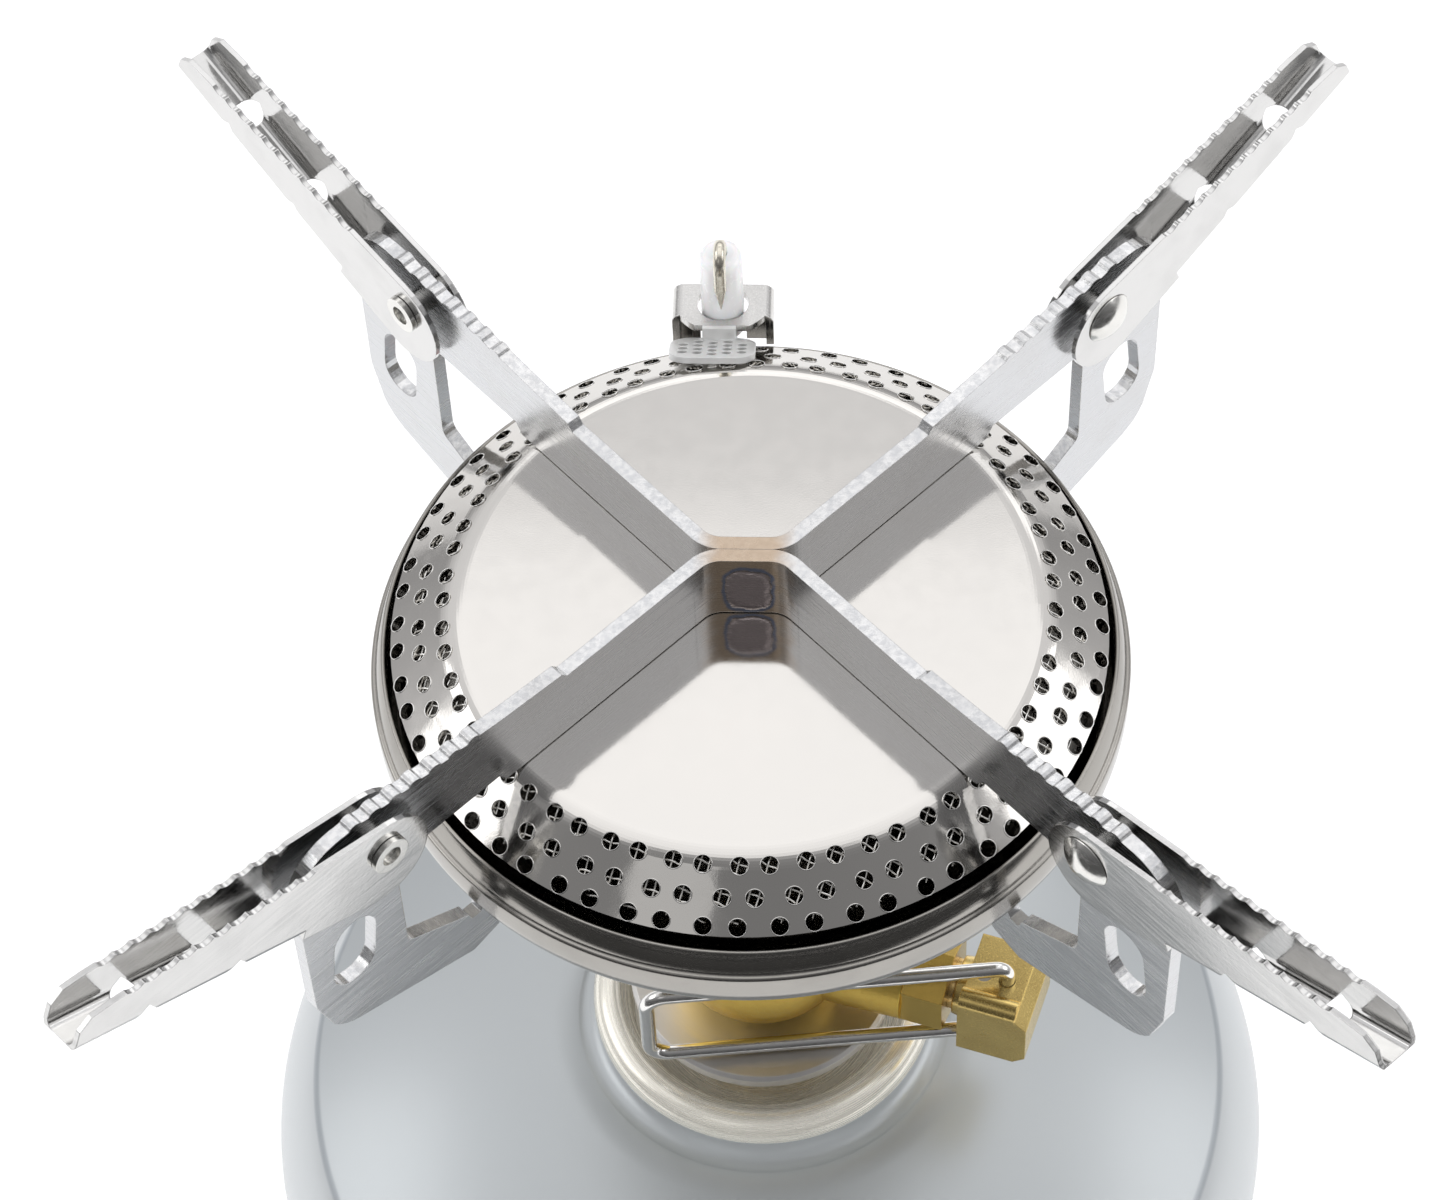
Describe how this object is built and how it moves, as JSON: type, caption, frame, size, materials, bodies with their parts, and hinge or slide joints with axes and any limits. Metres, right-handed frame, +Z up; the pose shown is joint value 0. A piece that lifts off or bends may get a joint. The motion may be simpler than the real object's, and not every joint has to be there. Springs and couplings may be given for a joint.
{
  "type": "camping stove",
  "caption": "Canister-top gas stove with round perforated burner, folding channel pot supports, spark igniter and wire-bail valve, screwed on a self-sealing gas canister.",
  "frame": {"origin": "centre of the canister's foot, on the surface it stands on", "axes": "+Z up along the stove's own axis; -Y is the front; the valve control points to +X and a little to the front"},
  "size_m": [0.1076, 0.1062, 0.1696],
  "materials": {
    "canister_paint": "satin",
    "cup_steel": "satin",
    "seal_rubber": "matte",
    "stem_plastic": "matte",
    "spring_steel": "polished",
    "disc_aluminium": "satin",
    "cast_brass": "cast, satin",
    "turned_brass": "turned",
    "tube_steel": "brushed",
    "bowl_steel": "brushed, dark",
    "cap_steel": "satin",
    "mesh_steel": "woven wire",
    "support_steel": "bright rolled",
    "rivet_steel": "polished",
    "bracket_steel": "satin",
    "target_steel": "satin",
    "ceramic": "glazed ceramic",
    "electrode_wire": "drawn wire",
    "lead_plastic": "matte",
    "housing_plastic": "fine texture",
    "nut_brass": "machined",
    "block_brass": "machined",
    "pin_steel": "plain",
    "bail_wire": "bright drawn wire",
    "arm_steel": "bright rolled",
    "button_plastic": "gloss"
  },
  "bodies": {
    "canister": {"canister_shell": "canister_paint", "canister_base": "canister_paint", "valve_cup": "cup_steel", "stem_gasket": "seal_rubber", "stem_housing": "stem_plastic", "stem_spring": "spring_steel"},
    "canister_stem": {"valve_stem": "stem_plastic"},
    "seal_carrier": {"base_seal": "seal_rubber"},
    "stove": {"base_disc": "disc_aluminium", "valve_body": "cast_brass", "opening_pin": "turned_brass", "gas_jet": "turned_brass", "mixing_tube": "tube_steel", "burner_bowl": "bowl_steel", "burner_cap": "cap_steel", "wire_mesh": "mesh_steel", "support_front": "support_steel", "support_back": "support_steel", "pivot_rivets": "rivet_steel", "igniter_bracket": "bracket_steel", "spark_target": "target_steel", "insulator": "ceramic", "electrode": "electrode_wire", "ignition_lead": "lead_plastic", "piezo_element": "housing_plastic", "piezo_housing": "housing_plastic", "housing_screw": "rivet_steel", "packing_nut": "nut_brass", "button_spring": "spring_steel"},
    "valve_control": {"spindle": "turned_brass", "spindle_o_ring": "seal_rubber", "control_block": "block_brass", "block_pin": "pin_steel"},
    "bail": {"wire_bail": "bail_wire"},
    "front_left_arm": {"arm_front_left": "arm_steel"},
    "front_right_arm": {"arm_front_right": "arm_steel"},
    "back_left_arm": {"arm_back_left": "arm_steel"},
    "back_right_arm": {"arm_back_right": "arm_steel"},
    "button": {"piezo_button": "button_plastic"}
  },
  "joints": [
    {"name": "stem_press", "type": "slide", "parent": "canister", "child": "canister_stem", "axis": [0, 0, 1], "range_m": [-0.0008, 0], "stiffness_N_per_m": 300, "deforming": ["stem_spring"]},
    {"name": "stove_rise", "type": "slide", "parent": "canister", "child": "seal_carrier", "axis": [0, 0, 1], "range_m": [0, 0.0055]},
    {"name": "stove_unscrew", "type": "hinge", "parent": "seal_carrier", "child": "stove", "pos_m": [0, 0, 0.09], "axis": [0, 0, 1], "range_deg": [0, 2160]},
    {"name": "valve_turn", "type": "hinge", "parent": "stove", "child": "valve_control", "pos_m": [0, 0, 0.0983], "axis": [0.9563, -0.2924, 0], "range_deg": [-20, 0]},
    {"name": "bail_swing", "type": "hinge", "parent": "valve_control", "child": "bail", "pos_m": [0.02391, -0.00731, 0.0983], "axis": [0, 0, 1], "range_deg": [0, 157]},
    {"name": "front_left_fold", "type": "hinge", "parent": "stove", "child": "front_left_arm", "pos_m": [-0.03022, -0.02865, 0.16], "axis": [-0.7218, 0.6921, 0], "range_deg": [0, 160]},
    {"name": "front_right_fold", "type": "hinge", "parent": "stove", "child": "front_right_arm", "pos_m": [0.03022, -0.02865, 0.16], "axis": [-0.7218, -0.6921, 0], "range_deg": [0, 160]},
    {"name": "back_left_fold", "type": "hinge", "parent": "stove", "child": "back_left_arm", "pos_m": [-0.03022, 0.02865, 0.16], "axis": [0.7218, 0.6921, 0], "range_deg": [0, 160]},
    {"name": "back_right_fold", "type": "hinge", "parent": "stove", "child": "back_right_arm", "pos_m": [0.03022, 0.02865, 0.16], "axis": [0.7218, -0.6921, 0], "range_deg": [0, 160]},
    {"name": "button_press", "type": "slide", "parent": "stove", "child": "button", "axis": [0, 0, 1], "range_m": [0, 0.004], "stiffness_N_per_m": 800, "deforming": ["button_spring"]}
  ],
  "couplings": [
    {"joint": "stove_rise", "follows": "stove_unscrew", "m_per_rad": 0.00014438}
  ]
}
